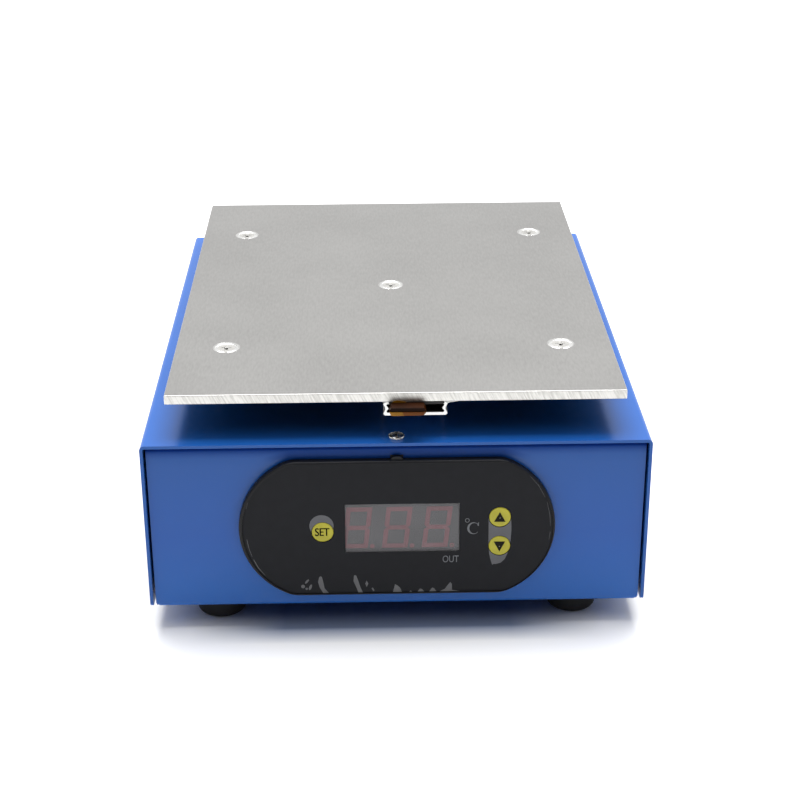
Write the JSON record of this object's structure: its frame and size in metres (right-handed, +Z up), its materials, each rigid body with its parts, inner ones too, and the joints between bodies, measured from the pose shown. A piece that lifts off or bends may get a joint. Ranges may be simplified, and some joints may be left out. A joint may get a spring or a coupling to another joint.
{
  "type": "lcd separator machine",
  "caption": "Bench heating plate for lifting display glass: blue folded housing, raised aluminium plate, oval front controller with display and keys.",
  "frame": {"origin": "on the bench, below the middle of the whole object", "axes": "+Z up, the controller faces -Y, +X to the right seen from the front"},
  "size_m": [0.156, 0.2008, 0.0799],
  "materials": {
    "blue_paint": "satin stoved paint on folded steel sheet",
    "plate_aluminium": "mill finish sheet with a fine grain, sawn edges",
    "zinc_steel": "zinc plated",
    "spacer_aluminium": "turned",
    "tube_aluminium": "extruded and pressed",
    "polyimide_film": "amber insulating film",
    "stainless_steel": "drawn tube",
    "rubber": "moulded",
    "black_abs": "moulded, fine grain",
    "printed_film": "printed polycarbonate film",
    "window_film": "clear window of the film",
    "display_grey": "moulded display face",
    "display_segments": "diffusing epoxy",
    "yellow_key": "printed film",
    "black_plastic": "moulded polyamide",
    "circuit_board": "solder mask",
    "brass": "turned",
    "tinned_brass": "tin plated",
    "laminated_steel": "stacked laminations",
    "coil_tape": "yellow tape",
    "relay_blue": "moulded",
    "capacitor_sleeve": "shrink sleeve",
    "terminal_green": "moulded",
    "fuse_glass": "glass tube with metal caps",
    "silicone_sleeve": "silicone insulation",
    "white_sleeve": "fluoropolymer insulation",
    "brown_pvc": "wire insulation",
    "earth_pvc": "green and yellow wire insulation",
    "grey_pvc": "flat cable",
    "red_rocker": "moulded"
  },
  "bodies": {
    "housing": {"top_cover": "blue_paint", "chassis_tray": "blue_paint", "heating_plate": "plate_aluminium", "plate_screws": "zinc_steel", "centre_screw": "zinc_steel", "plate_spacers": "spacer_aluminium", "plate_washers": "zinc_steel", "plate_nuts": "zinc_steel", "heater_tube_front": "tube_aluminium", "heater_tube_rear": "tube_aluminium", "heater_core_front": "polyimide_film", "heater_core_rear": "polyimide_film", "heater_clamp": "zinc_steel", "clamp_nut": "zinc_steel", "temperature_probe": "stainless_steel", "cable_grommet": "rubber", "controller_bezel": "black_abs", "membrane_label": "printed_film", "display_window": "window_film", "led_display": "display_grey", "led_segments": "display_segments", "tact_switches": "black_plastic", "display_board": "circuit_board", "display_board_screws": "zinc_steel", "power_board": "circuit_board", "board_standoffs": "brass", "standoff_screws": "zinc_steel", "board_screws": "zinc_steel", "transformer_core": "laminated_steel", "transformer_coil": "coil_tape", "relay": "relay_blue", "capacitor": "capacitor_sleeve", "terminal_block": "terminal_green", "power_inlet": "black_plastic", "inlet_pins": "tinned_brass", "inlet_screws": "zinc_steel", "inlet_nuts": "zinc_steel", "switch_body": "black_plastic", "switch_terminals": "tinned_brass", "rubber_feet": "rubber", "foot_screws": "zinc_steel", "foot_nuts": "zinc_steel", "cover_screws": "zinc_steel", "earth_stud": "zinc_steel", "earth_nut": "brass", "heater_leads": "silicone_sleeve", "probe_lead": "white_sleeve", "mains_wires": "brown_pvc", "earth_wire": "earth_pvc", "display_cable": "grey_pvc", "board_parts": "black_plastic"},
    "set_key": {"set_key": "yellow_key", "set_button": "black_plastic"},
    "up_key": {"up_key": "yellow_key", "up_button": "black_plastic"},
    "down_key": {"down_key": "yellow_key", "down_button": "black_plastic"},
    "rocker": {"switch_rocker": "red_rocker"},
    "fuse_drawer": {"fuse_drawer": "black_plastic", "fuse_link": "fuse_glass"}
  },
  "joints": [
    {"name": "set_key_press", "type": "slide", "parent": "housing", "child": "set_key", "axis": [0, 1, 0], "range_m": [0, 0.0003], "stiffness_N_per_m": 5000},
    {"name": "up_key_press", "type": "slide", "parent": "housing", "child": "up_key", "axis": [0, 1, 0], "range_m": [0, 0.0003], "stiffness_N_per_m": 5000},
    {"name": "down_key_press", "type": "slide", "parent": "housing", "child": "down_key", "axis": [0, 1, 0], "range_m": [0, 0.0003], "stiffness_N_per_m": 5000},
    {"name": "power_switch", "type": "hinge", "parent": "housing", "child": "rocker", "pos_m": [-0.0045, 0.09451, 0.0365], "axis": [1, 0, 0], "range_deg": [0, 24]},
    {"name": "fuse_drawer_slide", "type": "slide", "parent": "housing", "child": "fuse_drawer", "axis": [0, 1, 0], "range_m": [0, 0.014]}
  ]
}
